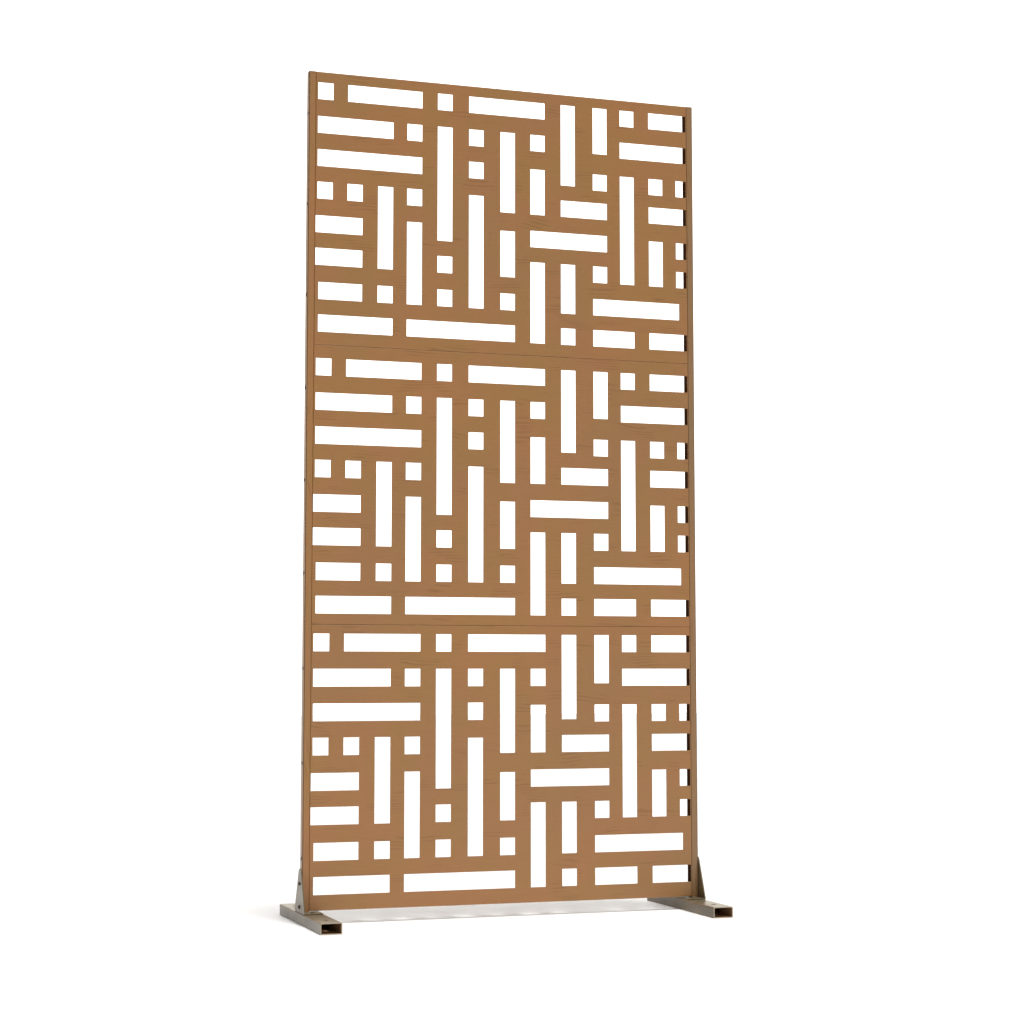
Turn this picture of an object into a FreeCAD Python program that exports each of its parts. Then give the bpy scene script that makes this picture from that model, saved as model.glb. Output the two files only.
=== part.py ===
"""Free-standing garden privacy screen.

Three folded sheet panels with a cut lattice stand on each other between two tube
posts. Each post is bolted through an angled gusset to a flat tube foot that runs
from front to back, with an anchor hole near each end.

Millimetres, +Z up. The panels face -Y and +X is to the right of someone who looks
at that face. The origin is on the ground, in the middle of the four anchor holes.
"""

import FreeCAD, Part

import math
import os

from FreeCAD import Vector

# ---- Overall sizes ------------------------------------------------------------
post_span = 960.0          # outer face of one post to outer face of the other
panel_height = 635.0       # one panel, flange to flange
panel_names = ("bottom_panel", "middle_panel", "top_panel")   # stacked on each other

# ---- Sheet panels -------------------------------------------------------------
panel_depth = 21.0         # front face to the back edge of the folded flanges
panel_sheet = 1.5          # sheet thickness
panel_bend = 0.3           # inner radius of the folds
corner_slit = 0.6          # gap between two flanges at a corner of the panel
panel_side_gap = 0.3       # each side flange to its post
panel_seam_gap = 0.3       # between two stacked panels
panel_lift = 5.0           # top of the feet to the lowest panel

# ---- Lattice ------------------------------------------------------------------
slot_width = 36.5
slot_height = 39.5
edge_slot_width = 27.9     # in the last column, cut short by the right flange
lattice_margin_sum = 55.0  # plain sheet above and below the lattice, together
# The places below hold for a full-size panel. On another size the columns and rows
# move closer or further apart, and the slots keep their width.
# Left edges of the slot columns, from the left edge of the panel. A slot in the
# first column starts at the left flange, one in the last column ends at the right.
column_lefts = (
    0.0, 5.0, 9.0, 76.0, 149.0, 219.0, 293.0, 370.0,
    448.0, 523.0, 600.0, 682.0, 752.0, 827.0, 869.0, 898.0,
)
# Top edges of the slot rows, below the first row, and what is cut in each:
# o one square, < = > one slot along the row, ^ | v one slot down the column.
lattice_rows = (
    (0.0, ".o.<=>o<=>^^o<=>"),
    (73.0, "..........|v...."),
    (79.0, ".<==>o^o^o|.<==>"),
    (156.5, ".<===>|o|.v....."),
    (162.5, "......|.|^.o^o.o"),
    (232.5, ".o.o^o|.vv<>|<=>"),
    (236.5, "....|.|^....|..."),
    (311.0, "<==>|^v|.<=>|..."),
    (316.0, "....||.|^...|^.o"),
    (386.5, "<==>v|o|v^^ovv.o"),
    (465.5, "..<>ovovo|v<==>."),
    (540.5, "..<=><==>vo<><=>"),
)
# Top edge of each panel to its first row of slots, lowest panel first.
lattice_margins = (20.5, 30.5, 25.0)

# ---- Posts --------------------------------------------------------------------
post_width = 16.0
post_depth = 21.0
post_wall = 1.6
post_corner = 1.5

# ---- Feet ---------------------------------------------------------------------
foot_length = 390.0
foot_width = 48.0
foot_height = 25.0
foot_wall = 2.0
foot_corner = 2.5
anchor_spacing = 290.0     # front to back, along one foot
anchor_bore = 12.0

# ---- Gussets ------------------------------------------------------------------
gusset_sheet = 3.0
gusset_fold = 2.5          # outer radius of the fold along the base
gusset_toe = 4.0           # height of the plate at the two ends of its base
gusset_height = 97.0       # above the foot
gusset_base = 92.0
gusset_top = 18.0          # width of the blunt top
gusset_tip = 7.0           # corner radius of the blunt top
gusset_flange = 44.0       # reach of the folded base under the post, with its sheet
flange_corner = 5.0
gusset_bolt_low = 14.0     # heights of the two gusset bolts above the foot
gusset_bolt_high = 65.0
foot_bolt_spacing = 60.0   # front to back, one on each side of the post

# ---- Fasteners ----------------------------------------------------------------
side_bolt_count = 3        # on each side of a panel
side_bolt_first = 115.0    # above the lower edge of the panel
side_bolt_pitch = 211.0
bolt_tail = 2.0            # thread that stands out of the nut
bore_clearance = 0.25      # radial, bolt in its hole
nut_clearance = 0.1        # radial, bolt in its nut
access_clearance = 0.5     # radial, bolt head in the hole that it goes in through


class Bolt:
    """A bolt size with a low round head, and the nut that goes on it."""

    def __init__(self, shank, head, head_height, nut_flats, nut_height):
        self.shank = shank
        self.head = head
        self.head_height = head_height
        self.nut_flats = nut_flats
        self.nut_height = nut_height

    def bore(self):
        return self.shank + 2 * bore_clearance

    def access_bore(self):
        """A hole that the head passes through."""
        return self.head + 2 * access_clearance


side_bolt = Bolt(shank=5.0, head=8.5, head_height=2.8, nut_flats=8.0, nut_height=4.0)
foot_bolt = Bolt(shank=6.0, head=10.5, head_height=3.3, nut_flats=10.0, nut_height=5.0)

# ---- Places that follow from the sizes ----------------------------------------
front = -panel_depth / 2
foot_top = foot_height
panel_width = post_span - 2 * (post_width + panel_side_gap)
panel_base = foot_top + panel_lift
panel_pitch = panel_height + panel_seam_gap
screen_top = panel_base + (len(panel_names) - 1) * panel_pitch + panel_height
post_base = foot_top + gusset_sheet
foot_outer = post_span / 2 + gusset_sheet
foot_centre = foot_outer - foot_width / 2
post_centre = (post_span - post_width) / 2
flange_inner_face = panel_width / 2 - panel_sheet
column_stretch = (panel_width - panel_sheet - edge_slot_width) / column_lefts[-1]
row_stretch = (panel_height - lattice_margin_sum - slot_height) / lattice_rows[-1][0]
post_inner_wall = post_span / 2 - post_width + post_wall
post_outer_wall = post_span / 2 - post_wall
sides = (("left", -1), ("right", 1))


# ---- Building blocks ----------------------------------------------------------
def box(x0, x1, y0, y1, z0, z1):
    """A block between two corners."""
    return Part.makeBox(x1 - x0, y1 - y0, z1 - z0, Vector(x0, y0, z0))


def drill(diameter, centre, direction, length):
    """A straight bore through `centre`, `length` long each way."""
    along = Vector(direction).normalize()
    start = Vector(centre) - along * length
    return Part.makeCylinder(diameter / 2, 2 * length, start, along)


def rounded_outline(width, depth, radius):
    """A rounded rectangle about the origin in the XY plane."""
    half_w = width / 2
    half_d = depth / 2
    inset = radius * (1 - math.cos(math.pi / 4))
    edges = []
    corners = ((1, -1), (1, 1), (-1, 1), (-1, -1))
    for index, (sx, sy) in enumerate(corners):
        beside = Vector(sx * half_w, sy * (half_d - radius), 0)
        across = Vector(sx * (half_w - radius), sy * half_d, 0)
        middle = Vector(sx * (half_w - inset), sy * (half_d - inset), 0)
        start, end = (across, beside) if sx * sy < 0 else (beside, across)
        edges.append(Part.Arc(start, middle, end).toShape())
        nx, ny = corners[(index + 1) % 4]
        if nx == sx:
            following = Vector(nx * half_w, ny * (half_d - radius), 0)
        else:
            following = Vector(nx * (half_w - radius), ny * half_d, 0)
        edges.append(Part.LineSegment(end, following).toShape())
    return Part.Face(Part.Wire(edges))


def tube(width, depth, radius, wall, length):
    """A rectangular tube up the Z axis, open at both ends."""
    outer = rounded_outline(width, depth, radius)
    inner = rounded_outline(width - 2 * wall, depth - 2 * wall, radius - wall / 2)
    return outer.extrude(Vector(0, 0, length)).cut(inner.extrude(Vector(0, 0, length)))


def edges_along(shape, axis, **at):
    """The straight edges parallel to `axis` that lie at the given x, y or z."""
    found = []
    for edge in shape.Edges:
        direction = edge.tangentAt(edge.FirstParameter)
        if abs(abs(direction.dot(axis)) - 1) > 1e-6:
            continue
        middle = edge.CenterOfMass
        if all(abs(getattr(middle, name) - value) < 1e-6 for name, value in at.items()):
            found.append(edge)
    return found


def hexagon(flats, height):
    """A hexagonal prism up the Z axis."""
    radius = flats / math.sqrt(3)
    points = [
        Vector(radius * math.cos(math.radians(60 * k)), radius * math.sin(math.radians(60 * k)), 0)
        for k in range(7)
    ]
    return Part.Face(Part.makePolygon(points)).extrude(Vector(0, 0, height))


def placed(shape, centre, direction):
    """Turns a piece made along +Z to `direction` and moves it to `centre`."""
    turn = FreeCAD.Rotation(Vector(0, 0, 1), Vector(direction))
    moved = shape.copy()
    moved.Placement = FreeCAD.Placement(Vector(centre), turn)
    return moved


def bolt_shape(size, grip):
    """A bolt whose head rests on z = 0 and whose shank goes down through `grip`."""
    reach = grip + size.nut_height + bolt_tail
    head = Part.makeCylinder(size.head / 2, size.head_height)
    shank = Part.makeCylinder(size.shank / 2, reach, Vector(0, 0, -reach))
    return head.fuse(shank)


def nut_shape(size):
    """A nut that stands on z = 0, with its bore along Z."""
    bore = Part.makeCylinder(size.shank / 2 + nut_clearance, size.nut_height)
    return hexagon(size.nut_flats, size.nut_height).cut(bore)


def export(shapes, name):
    """Writes one node, made of one solid or of a group of like solids."""
    shape = shapes[0] if len(shapes) == 1 else Part.makeCompound(shapes)
    shape.exportStep("parts/" + name + ".step")
    solids = len(shape.Solids)
    print(f"{name}: {solids} solid(s), {shape.Volume:.0f} mm3, valid {shape.isValid()}")


# ---- Where the bolts go -------------------------------------------------------
def panel_z(index):
    """The lower edge of a panel, counted from the lowest."""
    return panel_base + index * panel_pitch


def side_bolt_heights(index):
    """Heights of the bolts on each side of a panel."""
    return [panel_z(index) + side_bolt_first + k * side_bolt_pitch for k in range(side_bolt_count)]


def gusset_bolt_heights():
    return [foot_top + gusset_bolt_low, foot_top + gusset_bolt_high]


def foot_bolt_places():
    return [-foot_bolt_spacing / 2, foot_bolt_spacing / 2]


# ---- Panels -------------------------------------------------------------------
def left_edge(column):
    """Where a slot that starts in this column begins, from the panel's left edge."""
    if column == 0:
        return panel_sheet
    return column_lefts[column] * column_stretch


def right_edge(column):
    """Where a slot that ends in this column stops, from the panel's left edge."""
    if column == len(column_lefts) - 1:
        return panel_width - panel_sheet
    return left_edge(column) + slot_width


def top_edge(row):
    """Where a row of slots begins, below the top of the first row."""
    return lattice_rows[row][0] * row_stretch


def lattice_slots():
    """Each slot as (left, right, top, bottom), from the panel's left and the first row."""
    slots = []
    for row, (_, marks) in enumerate(lattice_rows):
        for column, mark in enumerate(marks):
            last_column = column
            last_row = row
            if mark not in "o<^":
                continue
            if mark == "<":
                last_column = marks.index(">", column)
            if mark == "^":
                while lattice_rows[last_row][1][column] != "v":
                    last_row += 1
            bottom = top_edge(last_row) + slot_height
            slots.append((left_edge(column), right_edge(last_column), top_edge(row), bottom))
    return slots


def panel_tray():
    """The sheet with its four flanges folded back, before the lattice is cut."""
    half = panel_width / 2
    back = front + panel_depth
    outer = box(-half, half, front, back, 0, panel_height)
    face_edges = edges_along(outer, Vector(1, 0, 0), y=front)
    face_edges += edges_along(outer, Vector(0, 0, 1), y=front)
    outer = outer.makeFillet(panel_bend + panel_sheet, face_edges)

    floor = front + panel_sheet
    inner = box(
        -half + panel_sheet, half - panel_sheet, floor, back,
        panel_sheet, panel_height - panel_sheet,
    )
    floor_edges = edges_along(inner, Vector(1, 0, 0), y=floor)
    floor_edges += edges_along(inner, Vector(0, 0, 1), y=floor)
    tray = outer.cut(inner.makeFillet(panel_bend, floor_edges))

    slit_start = floor + panel_bend + corner_slit
    for side in (-1, 1):
        edge = side * half
        inner_edge = side * (half - panel_sheet)
        x0, x1 = min(edge, inner_edge), max(edge, inner_edge)
        for z in (panel_sheet, panel_height - panel_sheet - corner_slit):
            tray = tray.cut(box(x0, x1, slit_start, back, z, z + corner_slit))
    return tray


def panel(index, tray):
    """One lattice panel in its place, drilled for the bolts of both posts."""
    shape = tray.copy()
    first_row = panel_height - lattice_margins[index]
    cutters = [
        box(
            left - panel_width / 2, right - panel_width / 2,
            front - 1, front + panel_sheet + panel_bend,
            first_row - bottom, first_row - top,
        )
        for left, right, top, bottom in lattice_slots()
    ]
    shape = shape.cut(Part.makeCompound(cutters))
    shape.translate(Vector(0, 0, panel_z(index)))
    for height in side_bolt_heights(index):
        shape = shape.cut(drill(side_bolt.bore(), (0, 0, height), (1, 0, 0), post_span))
    return shape


# ---- Posts, feet and gussets --------------------------------------------------
def post(side):
    """A tube from the gusset's flange to the top edge of the screen.

    The bolts of the panels go in through a wide hole in the outer wall and sit on
    the inner wall, inside the tube. Those of the gusset go through the outer wall.
    """
    shape = tube(post_width, post_depth, post_corner, post_wall, screen_top - post_base)
    shape.translate(Vector(side * post_centre, 0, post_base))
    outer_wall = side * post_outer_wall
    inner_wall = side * post_inner_wall
    for index in range(len(panel_names)):
        for height in side_bolt_heights(index):
            access = drill(side_bolt.access_bore(), (outer_wall, 0, height), (1, 0, 0), 2 * post_wall)
            bore = drill(side_bolt.bore(), (inner_wall, 0, height), (1, 0, 0), 2 * post_wall)
            shape = shape.cut(access).cut(bore)
    for height in gusset_bolt_heights():
        bore = drill(side_bolt.bore(), (outer_wall, 0, height), (1, 0, 0), 2 * post_wall)
        shape = shape.cut(bore)
    return shape


def foot(side):
    """A flat tube from front to back with two anchor bores right through it."""
    shape = tube(foot_width, foot_height, foot_corner, foot_wall, foot_length)
    shape.rotate(Vector(0, 0, 0), Vector(1, 0, 0), 90)
    shape.translate(Vector(side * foot_centre, foot_length / 2, foot_height / 2))
    for end in (-1, 1):
        centre = (side * foot_centre, end * anchor_spacing / 2, foot_height / 2)
        shape = shape.cut(drill(anchor_bore, centre, (0, 0, 1), foot_height))
    for y in foot_bolt_places():
        centre = (side * foot_centre, y, foot_top)
        shape = shape.cut(drill(foot_bolt.bore(), centre, (0, 0, 1), 2 * foot_wall))
    return shape


def gusset(side):
    """A triangular plate on the post's outer face, its base folded under the post."""
    inner_face = post_span / 2
    outer_face = inner_face + gusset_sheet
    half_base = gusset_base / 2
    half_top = gusset_top / 2
    outline = [
        Vector(0, -half_base, 0),
        Vector(0, half_base, 0),
        Vector(0, half_base, gusset_toe),
        Vector(0, half_top, gusset_height),
        Vector(0, -half_top, gusset_height),
        Vector(0, -half_base, gusset_toe),
        Vector(0, -half_base, 0),
    ]
    plate = Part.Face(Part.makePolygon(outline)).extrude(Vector(gusset_sheet, 0, 0))
    tips = edges_along(plate, Vector(1, 0, 0), z=gusset_height)
    plate = plate.makeFillet(gusset_tip, tips)
    plate.translate(Vector(inner_face, 0, 0))

    flange_end = outer_face - gusset_flange
    flange = box(flange_end, outer_face, -half_base, half_base, 0, gusset_sheet)
    free_corners = edges_along(flange, Vector(0, 0, 1), x=flange_end)
    flange = flange.makeFillet(flange_corner, free_corners)

    shape = plate.fuse(flange).removeSplitter()
    fold = edges_along(shape, Vector(0, 1, 0), x=outer_face, z=0)
    shape = shape.makeFillet(gusset_fold, fold)
    shape.translate(Vector(0, 0, foot_top))
    for height in gusset_bolt_heights():
        centre = (inner_face, 0, height)
        shape = shape.cut(drill(side_bolt.bore(), centre, (1, 0, 0), 2 * gusset_sheet))
    for y in foot_bolt_places():
        centre = (foot_centre, y, foot_top)
        shape = shape.cut(drill(foot_bolt.bore(), centre, (0, 0, 1), 2 * gusset_sheet))
    if side < 0:
        shape = shape.mirror(Vector(0, 0, 0), Vector(1, 0, 0))
    return shape


# ---- Fasteners ----------------------------------------------------------------
def side_bolts(side, heights, seat, nut_seat):
    """Bolts that face outwards. Heads and nuts sit at these distances from the middle."""
    piece = bolt_shape(side_bolt, seat - nut_seat)
    return [placed(piece, (side * seat, 0, z), (side, 0, 0)) for z in heights]


def side_nuts(side, heights, nut_seat):
    """The nuts of those bolts, on the side of the seat that looks to the middle."""
    piece = nut_shape(side_bolt)
    return [placed(piece, (side * nut_seat, 0, z), (-side, 0, 0)) for z in heights]


def foot_bolts(side):
    piece = bolt_shape(foot_bolt, gusset_sheet + foot_wall)
    top = foot_top + gusset_sheet
    return [placed(piece, (side * foot_centre, y, top), (0, 0, 1)) for y in foot_bolt_places()]


def foot_nuts(side):
    piece = nut_shape(foot_bolt)
    under = foot_top - foot_wall
    return [placed(piece, (side * foot_centre, y, under), (0, 0, -1)) for y in foot_bolt_places()]


# ---- The whole screen ---------------------------------------------------------
os.makedirs("parts", exist_ok=True)
print(f"{len(lattice_slots())} slots in each panel, screen {screen_top:.1f} mm high")

blank = panel_tray()
for index, name in enumerate(panel_names):
    export([panel(index, blank)], name)

for side_name, side in sides:
    export([post(side)], side_name + "_post")
    export([foot(side)], side_name + "_foot")
    export([gusset(side)], side_name + "_gusset")
    for index, name in enumerate(panel_names):
        prefix = side_name + "_" + name.replace("panel", "panel_")
        heights = side_bolt_heights(index)
        bolts = side_bolts(side, heights, post_inner_wall, flange_inner_face)
        export(bolts, prefix + "bolts")
        export(side_nuts(side, heights, flange_inner_face), prefix + "nuts")
    heights = gusset_bolt_heights()
    bolts = side_bolts(side, heights, foot_outer, post_outer_wall)
    export(bolts, side_name + "_gusset_bolts")
    export(side_nuts(side, heights, post_outer_wall), side_name + "_gusset_nuts")
    export(foot_bolts(side), side_name + "_foot_bolts")
    export(foot_nuts(side), side_name + "_foot_nuts")
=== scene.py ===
"""Garden privacy screen: finishes, detailed fasteners, studio and camera.

The lattice panels, posts, feet and gussets are the packed solids. This file gives them
their wood-grain and bronze coatings, makes the threaded bolts and chamfered nuts that
stand for the plain ones, and sets up a plain pale studio. Metres, +Z up, and the panels
face -Y.
"""

import math

import bmesh
import bpy
from mathutils import Matrix, Vector


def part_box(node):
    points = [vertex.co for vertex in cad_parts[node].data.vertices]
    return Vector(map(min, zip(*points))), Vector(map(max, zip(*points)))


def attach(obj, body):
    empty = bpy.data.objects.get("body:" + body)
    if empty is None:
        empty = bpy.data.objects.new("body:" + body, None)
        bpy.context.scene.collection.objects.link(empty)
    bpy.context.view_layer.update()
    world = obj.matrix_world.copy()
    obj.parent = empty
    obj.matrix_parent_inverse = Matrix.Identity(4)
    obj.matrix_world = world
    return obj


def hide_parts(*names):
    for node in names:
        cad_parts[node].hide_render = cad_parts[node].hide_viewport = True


bl_info = {
    "name": "Garden privacy screen",
    "version": (1, 0, 0),
    "blender": (4, 5, 0),
    "location": "View3D > Sidebar > Screen",
    "description": "Dresses a free-standing lattice screen and sets up its studio",
    "category": "Object",
}

MM = 0.001
ROOT = "root"              # the one body, which every piece rides on
SIDES = {"left": -1, "right": 1}       # each with the sign of X that is outward
PANELS = ("bottom_panel", "middle_panel", "top_panel")
WHITE = (1.0, 1.0, 1.0)

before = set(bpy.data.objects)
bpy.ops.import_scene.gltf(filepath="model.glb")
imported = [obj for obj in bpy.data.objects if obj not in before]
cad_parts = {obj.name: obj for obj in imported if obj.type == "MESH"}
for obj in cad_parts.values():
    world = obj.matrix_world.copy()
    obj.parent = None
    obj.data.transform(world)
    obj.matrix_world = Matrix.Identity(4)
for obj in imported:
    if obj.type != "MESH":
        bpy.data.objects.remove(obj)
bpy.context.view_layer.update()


# ---- What the packed solids give ------------------------------------------------
PANEL_LOW, PANEL_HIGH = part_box(PANELS[0])
PANEL_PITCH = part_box(PANELS[1])[0].z - PANEL_LOW.z


# ---- Sizes and colours that a user would change ---------------------------------
def size_property(name, text, millimetres):
    """A length in metres, given in millimetres."""
    return bpy.props.FloatProperty(
        name=name, description=text, default=millimetres * MM, min=0.0,
        unit="LENGTH", subtype="DISTANCE", precision=5,
    )


def angle_property(name, text, degrees):
    """An angle, given in degrees."""
    return bpy.props.FloatProperty(
        name=name, description=text, default=math.radians(degrees),
        unit="ROTATION", subtype="ANGLE",
    )


def share_property(name, text, value, top=1.0):
    """A plain number from 0 to `top`."""
    return bpy.props.FloatProperty(name=name, description=text, default=value, min=0.0, max=top)


def colour_property(name, text, colour):
    """A linear colour."""
    return bpy.props.FloatVectorProperty(
        name=name, description=text, default=colour, size=3, min=0.0, max=1.0, subtype="COLOR",
    )


class ScreenCoatingSettings(bpy.types.PropertyGroup):
    """The printed wood-grain coating of the panels and posts."""

    warm: colour_property("Warm wood", "Red-brown areas of the print", (0.408, 0.182, 0.062))
    ochre: colour_property("Ochre wood", "Yellow-brown areas of the print", (0.385, 0.188, 0.056))
    figure: colour_property("Grain lines", "Dark lines of the print", (0.205, 0.088, 0.028))
    # Dark for the shade inside the flanges and post bores: partly the coat's own colour, partly
    # painted shade.
    inside: colour_property("Inside", "Plain coat inside the flanges", (0.055, 0.022, 0.009))
    cool: colour_property("Cool wood", "Greyer areas of the print", (0.285, 0.168, 0.078))
    # Painted shade: this dark colour is laid along the outer corners of each post.
    edge: colour_property("Edge", "Darker coat along a post's corners", (0.120, 0.064, 0.030))
    streak_length: size_property("Streak length", "Length of the fine streaks", 70.0)
    streak_width: size_property("Streak width", "Width of the fine streaks", 0.9)
    ring_spacing: size_property("Ring spacing", "Distance between two grain lines", 8.0)
    edge_radius: size_property("Edge radius", "How round the cut and bent edges look", 0.5)
    edge_width: size_property("Edge width", "Width of the dark line along a post's corner", 2.4)
    # Painted shade: the right post is coloured greyer and darker than the left, for the dimmer
    # light on the right side.
    right_painted_shade: share_property("Grey right post", "Greyer wood on the right post", 0.65)
    line_strength: share_property("Line strength", "How dark the grain lines are", 0.42)
    streak_strength: share_property("Streak strength", "How dark the fine streaks are", 0.15)
    grain_size: size_property("Coat grain", "Grain of the coat under the print", 1.3)
    roughness: share_property("Roughness", "Roughness of the clear top coat", 0.34)


class ScreenMetalSettings(bpy.types.PropertyGroup):
    """The bronze powder coat of the feet and gussets."""

    bronze: colour_property("Bronze", "Main colour of the powder coat", (0.178, 0.133, 0.069))
    bronze_deep: colour_property("Deep bronze", "Darker areas of the coat", (0.120, 0.088, 0.047))
    inside: colour_property("Inside", "Thin coat inside the tubes", (0.340, 0.200, 0.100))
    # Also painted as a highlight on the sawn ends of the feet.
    wear_and_highlight: colour_property("Edge", "Rubbed coat along the edges", (0.520, 0.440, 0.320))
    dust: colour_property("Dust", "Fine dust on faces that look up", (0.520, 0.480, 0.400))
    grain_size: size_property("Coat grain", "Grain of the powder coat", 1.1)
    edge_radius: size_property("Edge radius", "How far the edge finish reaches", 0.6)
    roughness: share_property("Roughness", "Roughness of the powder coat", 0.28)
    dust_amount: share_property("Dust amount", "How much dust lies on the metal", 0.16)


class ScreenFastenerSettings(bpy.types.PropertyGroup):
    """Bolts and nuts of two sizes."""

    black: colour_property("Bolt", "Dark coating of the bolts", (0.060, 0.040, 0.024))
    black_worn: colour_property("Bolt edge", "Rubbed edges of the bolts", (0.210, 0.180, 0.140))
    bronze: colour_property("Foot bolt", "Coating of the foot bolts", (0.130, 0.095, 0.052))
    bronze_worn: colour_property("Foot bolt edge", "Their rubbed edges", (0.300, 0.235, 0.150))
    zinc: colour_property("Nut", "Zinc plating of the nuts", (0.560, 0.555, 0.530))
    zinc_dull: colour_property("Dull zinc", "Dull areas of the plating", (0.330, 0.325, 0.310))
    side_shank: size_property("Side thread", "Thread size of the panel bolts", 5.0)
    side_pitch: size_property("Side pitch", "Thread pitch of the panel bolts", 0.8)
    side_socket: size_property("Side socket", "Hexagon key of the panel bolts", 3.0)
    foot_shank: size_property("Foot thread", "Thread size of the foot bolts", 6.0)
    foot_pitch: size_property("Foot pitch", "Thread pitch of the foot bolts", 1.0)
    foot_socket: size_property("Foot socket", "Hexagon key of the foot bolts", 4.0)
    side_head: size_property("Side head", "Height of a panel bolt's head", 2.8)
    foot_head: size_property("Foot head", "Height of a foot bolt's head", 3.3)


class ScreenStageSettings(bpy.types.PropertyGroup):
    """Floor, lights and camera."""

    lens: bpy.props.FloatProperty(
        name="Lens", description="Focal length on a 36 mm wide sensor",
        default=73.13, min=10.0, subtype="DISTANCE_CAMERA",
    )
    camera_place: bpy.props.FloatVectorProperty(
        name="Camera place", description="Where the camera stands",
        default=(-1.5729, -4.5831, 0.5663), size=3, unit="LENGTH", subtype="TRANSLATION",
    )
    camera_turn: angle_property("Camera turn", "Turn to the right of straight ahead", 19.129)
    camera_tilt: angle_property("Camera tilt", "Tilt upwards", 5.246)
    shift: bpy.props.FloatProperty(
        name="Shift", description="Upright shift of the frame, as a share of its width",
        default=-0.0337, min=-0.2, max=0.2,
    )
    floor_colour: colour_property("Floor", "Pale studio floor", (0.900, 0.900, 0.900))
    floor_shade: colour_property("Floor shade", "Its faint clouds", (0.840, 0.840, 0.840))
    floor_roughness: share_property("Floor roughness", "Roughness of the floor", 0.60)
    floor_specular: share_property("Floor shine", "Specular level of the floor", 0.20)
    floor_glow: share_property("Floor glow", "Light that the floor gives off", 0.13, 5.0)
    floor_size: size_property("Floor size", "Edge of the square floor", 40000.0)
    surround: share_property("Surround", "Light from all sides", 0.46, 5.0)
    left_share: share_property("Left share", "What is left of it on the left", 0.15)
    backdrop_colour: colour_property(
        "Backdrop colour", "Colour of the bright wall in reflections", (1.0, 0.95, 0.84),
    )
    backdrop: share_property("Backdrop", "Light from the bright wall behind", 1.90, 5.0)
    backdrop_side: angle_property("Backdrop side", "Turn of the bright wall to the right", 13.0)
    backdrop_edge: angle_property("Backdrop edge", "From its middle to where it ends", 30.0)
    key_strength: share_property("Key strength", "Strength of the key light", 2.6, 20.0)
    key_softness: angle_property("Key softness", "Angle that the key light fills", 12.0)
    key_height: angle_property("Key height", "Height of the key light above the horizon", 78.0)
    key_side: angle_property("Key side", "Turn of the key light to the right", 12.0)


# ---- Shader building blocks ------------------------------------------------------
NODE_WIDTH, NODE_HEIGHT = 180, 160       # room for a node in the node editor


class NodeTree:
    """Adds and joins shader nodes, left to right."""

    def __init__(self, tree):
        self.tree = tree
        self.column = 0

    def add(self, kind, settings=None, **inputs):
        """A node whose settings are attributes and whose inputs are values or sockets.

        Input names are written with underscores, and `at_2` is input number 2.
        """
        node = self.tree.nodes.new(kind)
        self.column += 1
        node.location = (self.column * NODE_WIDTH, -(self.column % 4) * NODE_HEIGHT)
        for name, value in (settings or {}).items():
            setattr(node, name, value)
        for name, value in inputs.items():
            if name.startswith("at_"):
                socket = node.inputs[int(name[3:])]
            else:
                socket = node.inputs[name.replace("_", " ")]
            self.join(value, socket)
        return node

    def join(self, value, socket):
        """Links a socket to an input, or sets the input to a plain value."""
        if isinstance(value, bpy.types.NodeSocket):
            self.tree.links.new(value, socket)
        else:
            socket.default_value = value

    def math(self, operation, first, second=0.0, third=0.0, clamp=False):
        settings = {"operation": operation, "use_clamp": clamp}
        node = self.add("ShaderNodeMath", settings, at_0=first, at_1=second, at_2=third)
        return node.outputs[0]

    def blend(self, factor, first, second):
        """Two colours mixed by a factor."""
        settings = {"data_type": "RGBA"}
        node = self.add("ShaderNodeMix", settings, at_0=factor, at_6=first, at_7=second)
        return node.outputs[2]

    def ramp(self, value, start, reach, clamp=False):
        """`start` where the value is 0, and `start` + `reach` where it is 1."""
        return self.math("MULTIPLY_ADD", value, reach, start, clamp=clamp)

    def fade(self, value, low, high):
        """0 below `low`, 1 above `high` and smooth in between."""
        settings = {"interpolation_type": "SMOOTHSTEP"}
        node = self.add("ShaderNodeMapRange", settings, Value=value, From_Min=low, From_Max=high)
        return node.outputs[0]

    def noise(self, vector, scale=1.0, detail=2.0, roughness=0.5):
        node = self.add(
            "ShaderNodeTexNoise", None,
            Vector=vector, Scale=scale, Detail=detail, Roughness=roughness,
        )
        return node.outputs[0]

    def axes(self, vector):
        """The three parts of a vector."""
        node = self.add("ShaderNodeSeparateXYZ", None, Vector=vector)
        return node.outputs[0], node.outputs[1], node.outputs[2]

    def along(self, first, second):
        """The dot product of two directions."""
        settings = {"operation": "DOT_PRODUCT"}
        return self.add("ShaderNodeVectorMath", settings, at_0=first, at_1=second).outputs["Value"]

    def vector(self, x, y, z):
        return self.add("ShaderNodeCombineXYZ", None, X=x, Y=y, Z=z).outputs[0]

    def place(self):
        """The point on the surface, in the frame's own axes."""
        return self.add("ShaderNodeTexCoord").outputs["Object"]


def effect(name, inputs, outputs, build):
    """A shader node group, built once.

    `inputs` maps names to a socket kind and a default, and `outputs` maps names to kinds.
    """
    if name in bpy.data.node_groups:
        return bpy.data.node_groups[name]
    tree = bpy.data.node_groups.new(name, "ShaderNodeTree")
    for label, (kind, value) in inputs.items():
        socket = tree.interface.new_socket(name=label, in_out="INPUT", socket_type=kind)
        if value is not None:
            socket.default_value = value
    for label, kind in outputs.items():
        tree.interface.new_socket(name=label, in_out="OUTPUT", socket_type=kind)
    nodes = NodeTree(tree)
    source = tree.nodes.new("NodeGroupInput")
    results = build(nodes, source.outputs)
    sink = tree.nodes.new("NodeGroupOutput")
    sink.location = ((nodes.column + 1) * NODE_WIDTH, 0)
    for label, socket in results.items():
        tree.links.new(socket, sink.inputs[label])
    return tree


FLOAT = "NodeSocketFloat"
VECTOR = "NodeSocketVector"


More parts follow.
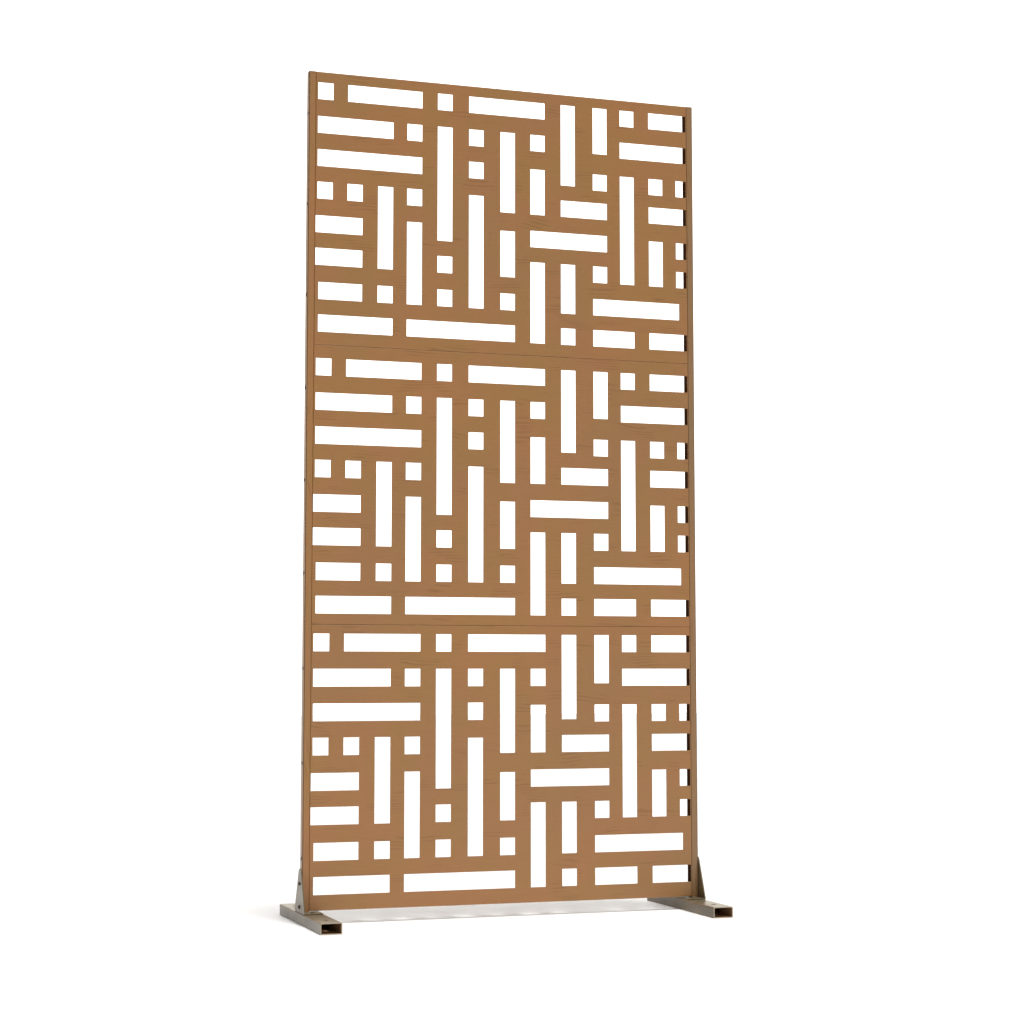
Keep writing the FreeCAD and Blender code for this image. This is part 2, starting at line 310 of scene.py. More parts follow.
BEND_LENGTH, BEND_WIDTH = 340.0 * MM, 85.0 * MM      # one slow bend of the grain lines
BEND_RINGS = 9.0           # ring spacings that the bends move a line by
LINE_SHARPNESS = 3.0       # how narrow a dark line is in its ring
PATCH_LENGTH, PATCH_WIDTH = 100.0 * MM, 40.0 * MM    # one patch of clear grain lines
PATCH_OFFSET = 7.0         # keeps the noise of the patches apart from that of the bends
FAINT_SHARE = 0.08         # what is left of the lines outside the patches


def wood_print():
    """Printed wood grain that runs along X: rings in cathedral patches, and fine streaks."""

    def build(nodes, given):
        x, y, z = nodes.axes(given["Place"])
        slow = nodes.vector(
            nodes.math("DIVIDE", x, BEND_LENGTH), y, nodes.math("DIVIDE", z, BEND_WIDTH),
        )
        bend = nodes.noise(slow, detail=2.0)
        wander = nodes.math("MULTIPLY", nodes.math("SUBTRACT", bend, 0.5), BEND_RINGS)
        ring = nodes.math("ADD", nodes.math("DIVIDE", z, given["Ring spacing"]), wander)
        wave = nodes.math("SINE", nodes.math("MULTIPLY", ring, math.tau))
        line = nodes.math("POWER", nodes.ramp(wave, start=0.5, reach=0.5), LINE_SHARPNESS)
        apart = nodes.vector(
            nodes.math("DIVIDE", x, PATCH_LENGTH),
            nodes.math("ADD", y, PATCH_OFFSET),
            nodes.math("DIVIDE", z, PATCH_WIDTH),
        )
        patch = nodes.fade(nodes.noise(apart, detail=1.0), low=0.56, high=0.68)
        share = nodes.ramp(patch, start=FAINT_SHARE, reach=1.0 - FAINT_SHARE)
        along = nodes.math("DIVIDE", x, given["Streak length"])
        across = nodes.math("DIVIDE", z, given["Streak width"])
        streak = nodes.noise(nodes.vector(along, y, across), detail=4.0, roughness=0.62)
        return {
            "Lines": nodes.math("MULTIPLY", line, share),
            "Streaks": nodes.fade(streak, low=0.36, high=0.68),
        }

    inputs = {
        "Place": (VECTOR, None),
        "Ring spacing": (FLOAT, 9.0 * MM),
        "Streak length": (FLOAT, 70.0 * MM),
        "Streak width": (FLOAT, 1.0 * MM),
    }
    return effect("Wood print", inputs, {"Lines": FLOAT, "Streaks": FLOAT}, build)


def edge_finish():
    """A mask of the outer edges, broken up a little, and a normal that rounds them."""

    def build(nodes, given):
        settings = {"samples": 4}
        rounded = nodes.add("ShaderNodeBevel", settings, Radius=given["Radius"]).outputs[0]
        flat = nodes.add("ShaderNodeNewGeometry").outputs["True Normal"]
        alike = nodes.along(rounded, flat)
        turned = nodes.fade(nodes.math("SUBTRACT", 1.0, alike), low=0.03, high=0.25)
        cloud = nodes.noise(nodes.place(), scale=45.0, detail=4.0)
        broken = nodes.fade(cloud, low=0.35, high=0.62)
        return {"Edge": nodes.math("MULTIPLY", turned, broken), "Normal": rounded}

    inputs = {"Radius": (FLOAT, 0.5 * MM)}
    return effect("Edge finish", inputs, {"Edge": FLOAT, "Normal": VECTOR}, build)


BROAD_SCALE, BROAD_HEIGHT = 0.22, 0.6      # the broad waves of a powder coat to its fine grain


def coat_grain():
    """The fine orange-peel grain of a powder coat, as a height."""

    def build(nodes, given):
        scale = nodes.math("DIVIDE", 1.0, given["Size"])
        fine = nodes.noise(nodes.place(), scale=scale, detail=3.0, roughness=0.6)
        broad_scale = nodes.math("MULTIPLY", scale, BROAD_SCALE)
        broad = nodes.noise(nodes.place(), scale=broad_scale, detail=1.0)
        return {"Height": nodes.ramp(broad, start=fine, reach=BROAD_HEIGHT)}

    return effect("Coat grain", {"Size": (FLOAT, 1.0 * MM)}, {"Height": FLOAT}, build)


def settled_dust():
    """A thin broken layer on faces that look up."""

    def build(nodes, given):
        normal = nodes.add("ShaderNodeNewGeometry").outputs["Normal"]
        up = nodes.fade(nodes.axes(normal)[2], low=0.35, high=0.95)
        cloud = nodes.noise(nodes.place(), scale=28.0, detail=6.0, roughness=0.6)
        lying = nodes.math("MULTIPLY", up, nodes.fade(cloud, low=0.35, high=0.75))
        return {"Mask": nodes.math("MULTIPLY", lying, given["Amount"])}

    return effect("Settled dust", {"Amount": (FLOAT, 0.2)}, {"Mask": FLOAT}, build)


SHADER_PLACE, OUTPUT_PLACE = (6000, 0), (6300, 0)    # in the node editor, right of the rest


def new_material(name):
    """An empty material with its Principled shader, and its nodes."""
    material = bpy.data.materials.new(name)
    material.use_nodes = True
    tree = material.node_tree
    tree.nodes.clear()
    nodes = NodeTree(tree)
    shader = nodes.add("ShaderNodeBsdfPrincipled")
    shader.location = SHADER_PLACE
    output = nodes.add("ShaderNodeOutputMaterial", None, Surface=shader.outputs[0])
    output.location = OUTPUT_PLACE
    return material, nodes, shader


def apply_effect(nodes, group, **inputs):
    """A shader node group placed in a material, with its own values."""
    return nodes.add("ShaderNodeGroup", {"node_tree": group}, **inputs)


def relief(nodes, shader, height, depth, normal):
    """A bump of `depth` metres on top of `normal`, into the shader's normal."""
    bump = nodes.add(
        "ShaderNodeBump", None, Strength=1.0, Distance=depth, Height=height, Normal=normal,
    )
    nodes.join(bump.outputs[0], shader.inputs["Normal"])


def opaque(colour):
    """A colour with full alpha."""
    return (*colour, 1.0)


def facing(nodes, axis):
    """How squarely the surface looks along an axis, given by its number: 0 to 1."""
    normal = nodes.add("ShaderNodeNewGeometry").outputs["Normal"]
    return nodes.math("ABSOLUTE", nodes.axes(normal)[axis])


PRINT_SHIFT = 3.7          # metres along the print from one panel's sheet to the next
GREY_PATCHES = 0.35        # most of the greyer wood in a patch
LINE_RELIEF, PEEL_RELIEF = -0.8, 0.35      # shares of the print's depth
PRINT_DEPTH = 0.06 * MM
# The dark line along a post's corner is painted shade.
CORNER_SHADE_FADE = 1.0 * MM     # soft inner edge of the dark line along a post's corner


def wood_grain_coating(name, settings, inside, post_reach=None, painted_shade_share=0.0):
    """The printed coating. `inside` masks the dark plain coat inside, whose darkness is partly
    painted shade.

    Each panel gets another stretch of the print. On a post, whose outer face is `post_reach`
    from the middle, the grain runs upwards and a dark line of painted shade follows the outer
    corners. `painted_shade_share` is how much greyer the whole piece is made, as painted shade.
    """
    material, nodes, shader = new_material(name)
    place = nodes.place()
    x, y, z = nodes.axes(place)
    if post_reach is None:
        above = nodes.math("SUBTRACT", z, PANEL_LOW.z)
        sheet = nodes.math("FLOOR", nodes.math("DIVIDE", above, PANEL_PITCH))
        offset = nodes.math("MULTIPLY", sheet, PRINT_SHIFT)
        turned = nodes.vector(nodes.math("ADD", x, offset), y, z)
    else:
        turned = nodes.vector(z, y, x)
    grain = apply_effect(
        nodes, wood_print(), Place=turned, Ring_spacing=settings.ring_spacing,
        Streak_length=settings.streak_length, Streak_width=settings.streak_width,
    )
    lines = grain.outputs["Lines"]
    streaks = grain.outputs["Streaks"]
    tint = nodes.fade(nodes.noise(place, scale=7.0, detail=3.0), low=0.38, high=0.62)
    colour = nodes.blend(tint, opaque(settings.warm), opaque(settings.ochre))
    grey = nodes.fade(nodes.noise(place, scale=2.3, detail=2.0), low=0.35, high=0.75)
    # painted_shade_share lays the greyer colour over the whole piece as painted shade; the noise
    # above gives greyer patches at random.
    grey = nodes.ramp(grey, start=painted_shade_share, reach=GREY_PATCHES, clamp=True)
    colour = nodes.blend(grey, colour, opaque(settings.cool))
    dark = nodes.math(
        "ADD", nodes.math("MULTIPLY", lines, settings.line_strength),
        nodes.math("MULTIPLY", streaks, settings.streak_strength), clamp=True,
    )
    colour = nodes.blend(dark, colour, opaque(settings.figure))
    # Painted shade: a dark line on the front face along the outer corners of a post.
    if post_reach is not None:
        start = post_reach - settings.edge_width
        outer = nodes.fade(nodes.math("ABSOLUTE", x), low=start, high=start + CORNER_SHADE_FADE)
        level = nodes.fade(facing(nodes, axis=1), low=0.2, high=0.5)
        corner = nodes.math("MULTIPLY", outer, level)
        colour = nodes.blend(corner, colour, opaque(settings.edge))
    # Inside faces get the dark plain coat, partly painted shade, and lose the clear coat's shine.
    hidden = inside(nodes, x, y, z)
    colour = nodes.blend(hidden, colour, opaque(settings.inside))
    nodes.join(colour, shader.inputs["Base Color"])
    rough = nodes.ramp(streaks, start=0.5, reach=0.2)
    nodes.join(nodes.math("MAXIMUM", hidden, rough), shader.inputs["Roughness"])
    nodes.join(nodes.math("SUBTRACT", 1.0, hidden), shader.inputs["Coat Weight"])
    shader.inputs["Coat Roughness"].default_value = settings.roughness
    shader.inputs["Specular IOR Level"].default_value = 0.0
    peel = apply_effect(nodes, coat_grain(), Size=settings.grain_size).outputs["Height"]
    peel = nodes.math("MULTIPLY", peel, PEEL_RELIEF)
    height = nodes.math("ADD", nodes.math("MULTIPLY", dark, LINE_RELIEF), peel)
    edges = apply_effect(nodes, edge_finish(), Radius=settings.edge_radius)
    relief(nodes, shader, height, PRINT_DEPTH, edges.outputs["Normal"])
    return material


SHEET_REACH = 1.9 * MM     # from the front of a panel to just behind its sheet
FLANGE_SKIN = 0.3 * MM     # from the outside of a flange into its sheet


def inside_panels(nodes, x, y, z):
    """1 on the inner faces of a panel's flanges, which lie behind its sheet."""
    height = PANEL_HIGH.z - PANEL_LOW.z
    behind = nodes.math("GREATER_THAN", y, PANEL_LOW.y + SHEET_REACH)
    within = nodes.math("LESS_THAN", nodes.math("ABSOLUTE", x), PANEL_HIGH.x - FLANGE_SKIN)
    up = nodes.math("FLOORED_MODULO", nodes.math("SUBTRACT", z, PANEL_LOW.z), PANEL_PITCH)
    above = nodes.math("GREATER_THAN", up, FLANGE_SKIN)
    below = nodes.math("LESS_THAN", up, height - FLANGE_SKIN)
    across = nodes.math("MULTIPLY", behind, within)
    return nodes.math("MULTIPLY", across, nodes.math("MULTIPLY", above, below))


WALL_SKIN = 0.4 * MM       # from the outside of a tube into its wall
END_SKIN = 0.2 * MM        # from the sawn end of a tube into the tube


def inside_tube(low, high, along):
    """A mask of the bore, but not the ends, of a tube that runs along axis number `along`."""
    centre = (low + high) / 2
    half = (high - low) / 2

    def mask(nodes, x, y, z):
        result = 1.0
        for axis, value in enumerate((x, y, z)):
            aside = nodes.math("ABSOLUTE", nodes.math("SUBTRACT", value, centre[axis]))
            skin = END_SKIN if axis == along else WALL_SKIN
            within = nodes.math("LESS_THAN", aside, half[axis] - skin)
            result = nodes.math("MULTIPLY", within, result)
        return result

    return mask


# On the sawn ends of the feet the worn colour is a painted highlight; flakes and rubbed edges are
# wear.
FLAKE_SHARE, RUBBED_SHARE, SAWN_HIGHLIGHT_SHARE = 0.25, 0.75, 0.80     # most of the worn colour
METAL_DEPTH = 0.05 * MM    # relief of the powder coat's grain


def bronze_coating(name, settings, inside=None, sawn_highlight_end=0.0):
    """Bronze powder coat with rubbed edges and dust.

    `inside` masks the bore of a tube, whose sawn ends lie beyond `sawn_highlight_end` and get the
    worn colour as a painted highlight.
    """
    material, nodes, shader = new_material(name)
    place = nodes.place()
    wear_and_highlight = opaque(settings.wear_and_highlight)
    cloud = nodes.noise(place, scale=9.0, detail=5.0, roughness=0.6)
    cloud = nodes.fade(cloud, low=0.35, high=0.65)
    colour = nodes.blend(cloud, opaque(settings.bronze), opaque(settings.bronze_deep))
    flake = nodes.fade(nodes.noise(place, scale=1500.0, detail=2.0), low=0.60, high=0.72)
    colour = nodes.blend(nodes.math("MULTIPLY", flake, FLAKE_SHARE), colour, wear_and_highlight)
    edges = apply_effect(nodes, edge_finish(), Radius=settings.edge_radius)
    rubbed = nodes.math("MULTIPLY", edges.outputs["Edge"], RUBBED_SHARE)
    colour = nodes.blend(rubbed, colour, wear_and_highlight)
    dust = apply_effect(nodes, settled_dust(), Amount=settings.dust_amount).outputs["Mask"]
    colour = nodes.blend(dust, colour, opaque(settings.dust))
    rough = nodes.ramp(cloud, start=settings.roughness, reach=0.08)
    rough = nodes.ramp(dust, start=rough, reach=0.5, clamp=True)
    if inside is not None:
        x, y, z = nodes.axes(place)
        # Painted highlight: the sawn ends of a foot are lightened with the worn colour.
        sawn = nodes.math("GREATER_THAN", nodes.math("ABSOLUTE", y), sawn_highlight_end)
        colour = nodes.blend(nodes.math("MULTIPLY", sawn, SAWN_HIGHLIGHT_SHARE), colour, wear_and_highlight)
        hidden = inside(nodes, x, y, z)
        colour = nodes.blend(hidden, colour, opaque(settings.inside))
        rough = nodes.ramp(hidden, start=rough, reach=0.3, clamp=True)
    nodes.join(colour, shader.inputs["Base Color"])
    nodes.join(rough, shader.inputs["Roughness"])
    peel = apply_effect(nodes, coat_grain(), Size=settings.grain_size).outputs["Height"]
    relief(nodes, shader, peel, METAL_DEPTH, edges.outputs["Normal"])
    return material


FASTENER_EDGE = 0.25 * MM      # how far the edge finish of a bolt or nut reaches
FASTENER_DEPTH = 0.012 * MM    # relief of its turned or rolled surface


def fastener_finish(name, main, second, metallic, roughness, second_on_edges):
    """A plated or blackened metal, with the second colour on its edges or in clouds."""
    material, nodes, shader = new_material(name)
    place = nodes.place()
    edges = apply_effect(nodes, edge_finish(), Radius=FASTENER_EDGE)
    cloud = nodes.noise(place, scale=320.0, detail=5.0, roughness=0.6)
    cloud = nodes.fade(cloud, low=0.40, high=0.70)
    if second_on_edges:
        factor = nodes.ramp(cloud, start=edges.outputs["Edge"], reach=0.12, clamp=True)
    else:
        factor = nodes.math("MULTIPLY", cloud, 0.7)
    nodes.join(nodes.blend(factor, opaque(main), opaque(second)), shader.inputs["Base Color"])
    shader.inputs["Metallic"].default_value = metallic
    rough = nodes.ramp(cloud, start=roughness, reach=0.18)
    nodes.join(rough, shader.inputs["Roughness"])
    turning = nodes.noise(place, scale=2600.0, detail=2.0)
    relief(nodes, shader, turning, FASTENER_DEPTH, edges.outputs["Normal"])
    return material


def dress(node, material):
    """Gives a packed solid its material."""
    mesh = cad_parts[node].data
    if not mesh.materials:
        mesh.materials.append(material)
    for index in range(len(mesh.materials)):
        mesh.materials[index] = material


# ---- Detailed fasteners ----------------------------------------------------------
RING = 48                  # points round a bolt or nut
CROWN_STEPS = 9            # rings over the crown of a head
CHAMFER_STEPS = 4          # rings over the chamfer of a nut
THREAD_STEPS = 8           # rings in one turn of a thread
THREAD_DEPTH = 0.54        # of the pitch
THREAD_LENGTH = 1.6        # of the shank, at most
RIDGE_FLANK = 1.35         # how steep the flanks of a thread are
POINT_LENGTH = 0.25        # of the pitch, at the end of a bolt
SPIN = 0.7                 # radians that each bolt or nut of a set is turned past the last
WELD = 0.001 * MM          # points nearer than this are one
SHARP_ANGLE = math.radians(32)


def hexagon_radius(flats, angle):
    """Distance from the middle of a hexagon to its edge, in a direction."""
    sector = math.pi / 3
    return flats / 2 / math.cos(angle % sector - sector / 2)


def lathe(mesh, rings, close_start, close_end):
    """Joins rings, each a function of the angle that gives (radius, height), by faces."""
    loops = []
    for ring in rings:
        loop = []
        for step in range(RING):
            angle = math.tau * step / RING
            radius, height = ring(angle)
            place = (radius * math.cos(angle), radius * math.sin(angle), height)
            loop.append(mesh.verts.new(place))
        loops.append(loop)
    for lower, upper in zip(loops, loops[1:]):
        for step in range(RING):
            after = (step + 1) % RING
            mesh.faces.new((lower[step], lower[after], upper[after], upper[step]))
    if close_start:
        mesh.faces.new(tuple(reversed(loops[0])))
    if close_end:
        mesh.faces.new(loops[-1])
    return loops


def round_ring(radius, height):
    """A circle."""
    return lambda angle: (radius, height)


def hexagon_ring(flats, height, limit=math.inf):
    """A hexagon, cut back to a circle of radius `limit`."""
    return lambda angle: (min(hexagon_radius(flats, angle), limit), height)


def thread_ring(radius, depth, pitch, height, fade):
    """A ring across a screw thread. `fade` is 1 where the thread has its full depth."""

    def ring(angle):
        phase = (height / pitch - angle / math.tau) % 1.0
        ridge = abs(2.0 * phase - 1.0)
        return radius - depth * fade * min(1.0, RIDGE_FLANK * ridge), height

    return ring


def bolt_mesh(mesh, shank, pitch, head, head_height, socket, length, thread_length):
    """A button-head bolt whose head stands on z = 0, with its shank below."""
    root = shank / 2
    half = head / 2
    rim = 0.12 * head_height
    crown = 0.30 * head
    rings = [round_ring(root, 0.0), round_ring(half - rim / 2, 0.0), round_ring(half, rim / 2)]
    for step in range(CROWN_STEPS + 1):
        share = step / CROWN_STEPS
        radius = half + (crown - half) * share
        height = rim + (head_height - rim) * math.sqrt(1 - (1 - share) ** 2)
        rings.append(round_ring(radius, height))
    lead = 0.10 * socket
    mouth = socket / math.sqrt(3) + lead
    socket_floor = 0.40 * head_height
    drill_point, drill_radius = 0.28 * head_height, 0.15 * socket
    rings.append(round_ring(mouth, head_height))
    rings.append(hexagon_ring(socket, head_height - lead))
    rings.append(hexagon_ring(socket, socket_floor))
    rings.append(round_ring(drill_radius, drill_point))
    lathe(mesh, rings, close_start=False, close_end=True)

    depth = THREAD_DEPTH * pitch
    point_radius = root - depth * 1.25
    start = thread_length - length
    rings = [round_ring(root, 0.0), round_ring(root, start)]
    count = int(thread_length / pitch * THREAD_STEPS)
    for step in range(count + 1):
        height = start - thread_length * step / count
        fade = min(1.0, 1.5 * step / THREAD_STEPS)
        rings.append(thread_ring(root, depth, pitch, height, fade))
    rings.append(round_ring(point_radius, -length - POINT_LENGTH * pitch))
    rings.reverse()
    lathe(mesh, rings, close_start=True, close_end=False)


def nut_mesh(mesh, shank, flats, height):
    """A hexagon nut on z = 0 with chamfered corners and a countersunk bore."""
    bore = shank / 2
    mouth = bore * 1.08
    corner = flats / math.sqrt(3)
    flat = flats / 2
    sink = 0.35 * (corner - flat)
    face = flat * 0.98
    slope = math.tan(math.radians(30))
    outside = []
    for step in range(CHAMFER_STEPS + 1):
        reach = face + (corner - face) * step / CHAMFER_STEPS
        outside.append((reach, (reach - face) * slope))
    rings = [round_ring(bore, sink), round_ring(mouth, 0.0)]
    rings += [hexagon_ring(flats, z, reach) for reach, z in outside]
    rings += [hexagon_ring(flats, height - z, reach) for reach, z in reversed(outside)]
    rings += [round_ring(mouth, height), round_ring(bore, height - sink)]
    loops = lathe(mesh, rings, close_start=False, close_end=False)
    for step in range(RING):
        after = (step + 1) % RING
        mesh.faces.new((loops[-1][step], loops[-1][after], loops[0][after], loops[0][step]))


def place_in(target, source, centre, direction, spin):
    """Adds a mesh made along +Z to another, turned to `direction` and moved to `centre`."""
    copy = bpy.data.meshes.new("one")
    source.to_mesh(copy)
    turn = Vector((0, 0, 1)).rotation_difference(direction).to_matrix().to_4x4()
    copy.transform(Matrix.Translation(centre) @ turn @ Matrix.Rotation(spin, 4, "Z"))
    target.from_mesh(copy)
    bpy.data.meshes.remove(copy)


def make_set(name, node, source, places, material):
    """One piece with a fastener at each place, which stands for a packed node."""
    whole = bmesh.new()
    for index, (centre, direction) in enumerate(places):
        place_in(whole, source, centre, direction, SPIN * index)
    bmesh.ops.recalc_face_normals(whole, faces=whole.faces)
    mesh = bpy.data.meshes.new(name)
    whole.to_mesh(mesh)
    whole.free()
    mesh.materials.append(material)
    mesh.shade_smooth()
    mesh.set_sharp_from_angle(angle=SHARP_ANGLE)
    piece = bpy.data.objects.new(name, mesh)
    bpy.context.scene.collection.objects.link(piece)
    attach(piece, ROOT)
    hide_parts(node)


def solid_boxes(node):
    """The box of each separate solid of a packed node, lowest first."""
    mesh = bmesh.new()
    mesh.from_mesh(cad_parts[node].data)
    bmesh.ops.remove_doubles(mesh, verts=mesh.verts, dist=WELD)
    waiting = set(mesh.verts)
    boxes = []
    while waiting:
        start = waiting.pop()
        found = [start]
        for vert in found:
            for edge in vert.link_edges:
                other = edge.other_vert(vert)
                if other in waiting:
                    waiting.remove(other)
                    found.append(other)
        low = Vector([min(v.co[axis] for v in found) for axis in range(3)])
        high = Vector([max(v.co[axis] for v in found) for axis in range(3)])
        boxes.append((low, high))
    mesh.free()
    return sorted(boxes, key=lambda box: (round(box[0].z, 4), box[0].y))


def seats(node, axis, sign, head=None):
    """Where each fastener of a node stands, its direction, and the size of one's box.

    The direction is an axis by number, with the sign 1 or -1. A bolt stands on the
    underside of its head, which is `head` high, and a nut on its hindmost end.
    """
    direction = Vector((0, 0, 0))
    direction[axis] = sign
    places = []
    for low, high in solid_boxes(node):
        foremost, hindmost = (high, low) if sign > 0 else (low, high)
        centre = (low + high) / 2
        centre[axis] = hindmost[axis] if head is None else foremost[axis] - sign * head
        places.append((centre, direction))
    return places, high - low


def side_nodes(side, kind):
    """The nodes of the fasteners in one side's panels and gusset: bolts or nuts."""
    return ["_".join((side, carrier, kind)) for carrier in (*PANELS, "gusset")]


# ---- Operators -------------------------------------------------------------------
FLOOR_SHADE_SHARE = 0.06   # most of the shade in the floor's clouds
WALL_BLUR = 0.06           # half the soft edge of the bright wall, in radians
SENSOR_WIDTH = 36.0        # millimetres


class SCREEN_OT_coat_lattice(bpy.types.Operator):
    """Gives the panels and posts their printed wood-grain coating"""

    bl_idname = "screen.coat_lattice"
    bl_label = "Coat panels and posts"

    def execute(self, context):
        settings = context.scene.screen_coating
        across = wood_grain_coating("Wood grain across", settings, inside_panels)
        for node in PANELS:
            dress(node, across)
        # The right post gets a shaded copy of the coating: greyer and darker, as painted shade.
        for side, painted_shade_share in zip(SIDES, (0.0, settings.right_painted_shade)):
            node = side + "_post"
            low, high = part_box(node)
            upright = wood_grain_coating(
                "Wood grain upright " + side, settings, inside_tube(low, high, along=2),
                post_reach=max(-low.x, high.x), painted_shade_share=painted_shade_share,
            )
            dress(node, upright)
        return {"FINISHED"}


class SCREEN_OT_coat_feet(bpy.types.Operator):
    """Gives the feet and gussets their bronze powder coat"""

    bl_idname = "screen.coat_feet"
    bl_label = "Coat feet and gussets"

    def execute(self, context):
        settings = context.scene.screen_metal
        for side in SIDES:
            node = side + "_foot"
            low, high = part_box(node)
            bore = inside_tube(low, high, along=1)
            sawn_highlight_end = high.y - END_SKIN
            dress(node, bronze_coating("Bronze foot " + side, settings, bore, sawn_highlight_end))
        plate = bronze_coating("Bronze plate", settings)
        for side in SIDES:
            dress(side + "_gusset", plate)
        return {"FINISHED"}


class SCREEN_OT_fit_bolts(bpy.types.Operator):
    """Makes the socket-head bolts of the panels, gussets and feet"""

    bl_idname = "screen.fit_bolts"
    bl_label = "Fit bolts"

    def execute(self, context):
        settings = context.scene.screen_fasteners
        dark = fastener_finish(
            "Blackened bolts", settings.black, settings.black_worn,
            metallic=0.75, roughness=0.34, second_on_edges=True,
        )
        coated = fastener_finish(
            "Bronze bolts", settings.bronze, settings.bronze_worn,
            metallic=0.0, roughness=0.36, second_on_edges=True,
        )
        for side, outward in SIDES.items():
            for node in side_nodes(side, "bolts"):
                self.fit(
                    node, 0, outward, dark, settings.side_shank, settings.side_pitch,
                    settings.side_head, settings.side_socket,
                )
            self.fit(
                side + "_foot_bolts", 2, 1, coated, settings.foot_shank, settings.foot_pitch,
                settings.foot_head, settings.foot_socket,
            )
        return {"FINISHED"}

    def fit(self, node, axis, sign, finish, shank, pitch, head_height, socket):
        """Replaces the bolts of a node, whose heads look along an axis."""
        places, box = seats(node, axis, sign, head_height)
        head = box[2 - axis]       # along the other one of X and Z
        length = box[axis] - head_height - POINT_LENGTH * pitch
        thread_length = min(length, THREAD_LENGTH * shank)
        one = bmesh.new()
        bolt_mesh(one, shank, pitch, head, head_height, socket, length, thread_length)
        make_set(node + "_detailed", node, one, places, finish)
        one.free()


class SCREEN_OT_fit_nuts(bpy.types.Operator):
    """Makes the chamfered nuts inside the flanges, posts and feet"""

    bl_idname = "screen.fit_nuts"
    bl_label = "Fit nuts"

    def execute(self, context):
        settings = context.scene.screen_fasteners
        finish = fastener_finish(
            "Zinc nuts", settings.zinc, settings.zinc_dull,
            metallic=1.0, roughness=0.30, second_on_edges=False,
        )
        for side, outward in SIDES.items():
            for node in side_nodes(side, "nuts"):
                self.fit(node, 0, -outward, finish, settings.side_shank)
            self.fit(side + "_foot_nuts", 2, -1, finish, settings.foot_shank)
        return {"FINISHED"}

    def fit(self, node, axis, sign, finish, shank):
        """Replaces the nuts of a node, which point along an axis."""
        places, box = seats(node, axis, sign)
        one = bmesh.new()
        nut_mesh(one, shank, flats=box.y, height=box[axis])
        make_set(node + "_detailed", node, one, places, finish)
        one.free()


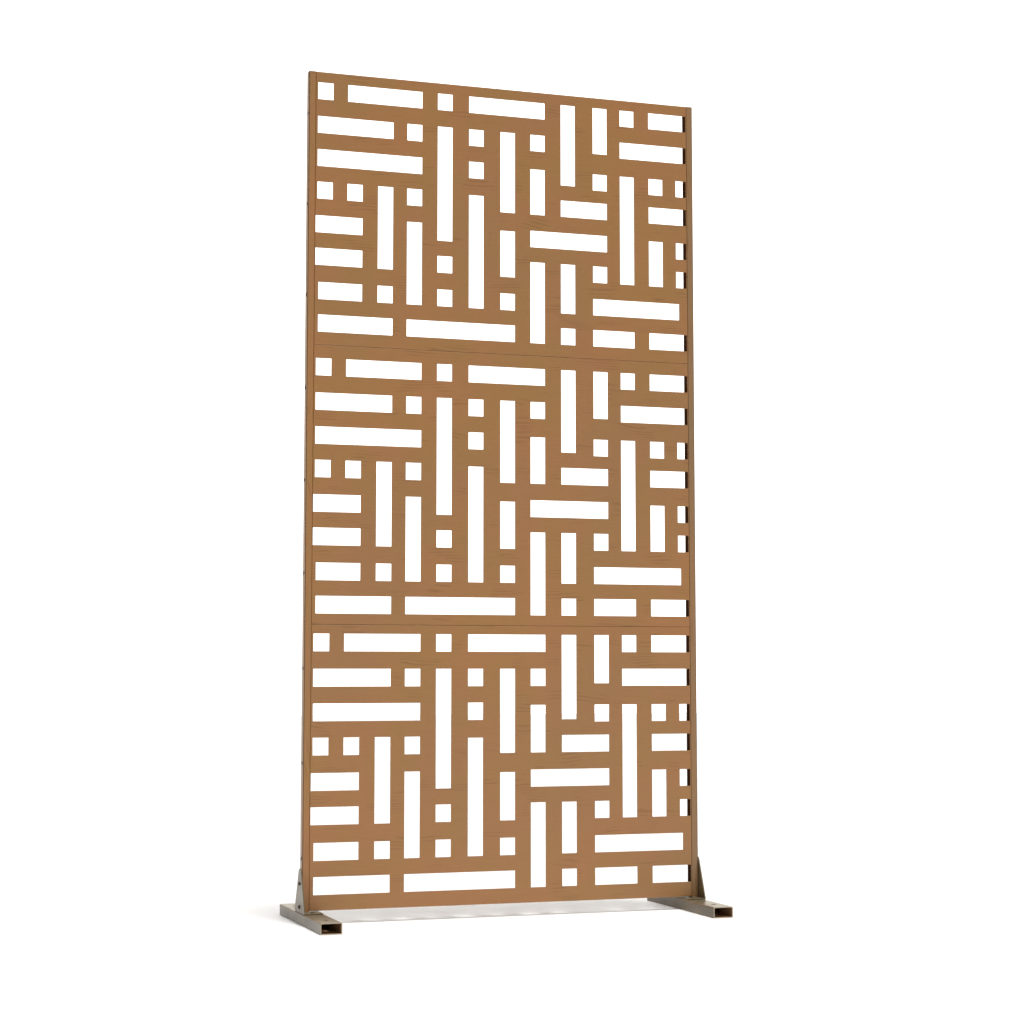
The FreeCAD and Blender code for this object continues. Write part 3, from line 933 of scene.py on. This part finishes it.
class SCREEN_OT_set_stage(bpy.types.Operator):
    """Makes the pale floor, the soft studio light and the camera"""

    bl_idname = "screen.set_stage"
    bl_label = "Set the stage"

    def execute(self, context):
        settings = context.scene.screen_stage
        self.floor(settings)
        self.surround(context.scene, settings)
        self.key_light(settings)
        self.camera(context.scene, settings)
        context.scene.view_settings.view_transform = "Standard"
        return {"FINISHED"}

    def floor(self, settings):
        half = settings.floor_size / 2
        corners = [(-half, -half, 0), (half, -half, 0), (half, half, 0), (-half, half, 0)]
        mesh = bpy.data.meshes.new("Floor")
        mesh.from_pydata(corners, [], [(0, 1, 2, 3)])
        material, nodes, shader = new_material("Pale floor")
        shade = nodes.noise(nodes.place(), scale=0.6, detail=2.0)
        shade = nodes.math("MULTIPLY", shade, FLOOR_SHADE_SHARE)
        pale = nodes.blend(shade, opaque(settings.floor_colour), opaque(settings.floor_shade))
        nodes.join(pale, shader.inputs["Base Color"])
        shader.inputs["Roughness"].default_value = settings.floor_roughness
        shader.inputs["Specular IOR Level"].default_value = settings.floor_specular
        shader.inputs["Emission Color"].default_value = opaque(WHITE)
        shader.inputs["Emission Strength"].default_value = settings.floor_glow
        mesh.materials.append(material)
        floor = bpy.data.objects.new("Floor", mesh)
        bpy.context.scene.collection.objects.link(floor)

    def surround(self, scene, settings):
        """A pale studio, darker on the left, with a bright wall behind the screen."""
        world = bpy.data.worlds.new("Studio")
        world.use_nodes = True
        world.node_tree.nodes.clear()
        nodes = NodeTree(world.node_tree)
        towards = nodes.add("ShaderNodeTexCoord").outputs["Generated"]
        side = settings.backdrop_side
        near = nodes.along(towards, (math.sin(side), math.cos(side), 0.0))
        edge = settings.backdrop_edge
        wall = nodes.fade(near, low=math.cos(edge + WALL_BLUR), high=math.cos(edge - WALL_BLUR))
        right = nodes.fade(nodes.axes(towards)[0], low=-0.70, high=-0.10)
        dim = settings.surround * settings.left_share
        around = nodes.ramp(right, start=dim, reach=settings.surround - dim)
        lit = nodes.math("MAXIMUM", around, nodes.math("MULTIPLY", wall, settings.backdrop))
        seen = nodes.add("ShaderNodeLightPath").outputs["Is Camera Ray"]
        white = opaque(WHITE)
        colour = nodes.blend(wall, white, opaque(settings.backdrop_colour))
        colour = nodes.blend(seen, colour, white)
        strength = nodes.math("MAXIMUM", seen, lit)
        background = nodes.add("ShaderNodeBackground", None, Color=colour, Strength=strength)
        nodes.add("ShaderNodeOutputWorld", None, Surface=background.outputs[0])
        scene.world = world

    def key_light(self, settings):
        """A broad soft light from high in front, a little from the right."""
        lamp = bpy.data.lights.new("Key light", "SUN")
        lamp.energy = settings.key_strength
        lamp.angle = settings.key_softness
        holder = bpy.data.objects.new("Key light", lamp)
        holder.rotation_euler = (math.pi / 2 - settings.key_height, 0, settings.key_side)
        bpy.context.scene.collection.objects.link(holder)

    def camera(self, scene, settings):
        lens = bpy.data.cameras.new("Camera")
        lens.sensor_width = SENSOR_WIDTH
        lens.lens = settings.lens
        lens.shift_y = settings.shift
        holder = bpy.data.objects.new("Camera", lens)
        holder.location = settings.camera_place
        holder.rotation_euler = (math.pi / 2 + settings.camera_tilt, 0, -settings.camera_turn)
        scene.collection.objects.link(holder)
        scene.camera = holder


# ---- Sidebar ---------------------------------------------------------------------
OPERATORS = (
    SCREEN_OT_coat_lattice,
    SCREEN_OT_coat_feet,
    SCREEN_OT_fit_bolts,
    SCREEN_OT_fit_nuts,
    SCREEN_OT_set_stage,
)
SETTINGS = {
    "screen_coating": ScreenCoatingSettings,
    "screen_metal": ScreenMetalSettings,
    "screen_fasteners": ScreenFastenerSettings,
    "screen_stage": ScreenStageSettings,
}


class VIEW3D_PT_screen(bpy.types.Panel):
    """Lists the steps and their settings"""

    bl_label = "Privacy screen"
    bl_idname = "VIEW3D_PT_screen"
    bl_space_type = "VIEW_3D"
    bl_region_type = "UI"
    bl_category = "Screen"

    def draw(self, context):
        for name, group in SETTINGS.items():
            box = self.layout.box()
            box.label(text=group.__doc__)
            for label in group.__annotations__:
                box.prop(getattr(context.scene, name), label)
        for operator in OPERATORS:
            self.layout.operator(operator.bl_idname)


def register():
    for group in SETTINGS.values():
        bpy.utils.register_class(group)
    for name, group in SETTINGS.items():
        setattr(bpy.types.Scene, name, bpy.props.PointerProperty(type=group))
    for operator in OPERATORS:
        bpy.utils.register_class(operator)
    bpy.utils.register_class(VIEW3D_PT_screen)


def unregister():
    bpy.utils.unregister_class(VIEW3D_PT_screen)
    for operator in reversed(OPERATORS):
        bpy.utils.unregister_class(operator)
    for name, group in SETTINGS.items():
        delattr(bpy.types.Scene, name)
        bpy.utils.unregister_class(group)


def main():
    register()
    bpy.ops.screen.coat_lattice()
    bpy.ops.screen.coat_feet()
    bpy.ops.screen.fit_bolts()
    bpy.ops.screen.fit_nuts()
    bpy.ops.screen.set_stage()
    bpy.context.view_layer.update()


if __name__ == "__main__":
    main()
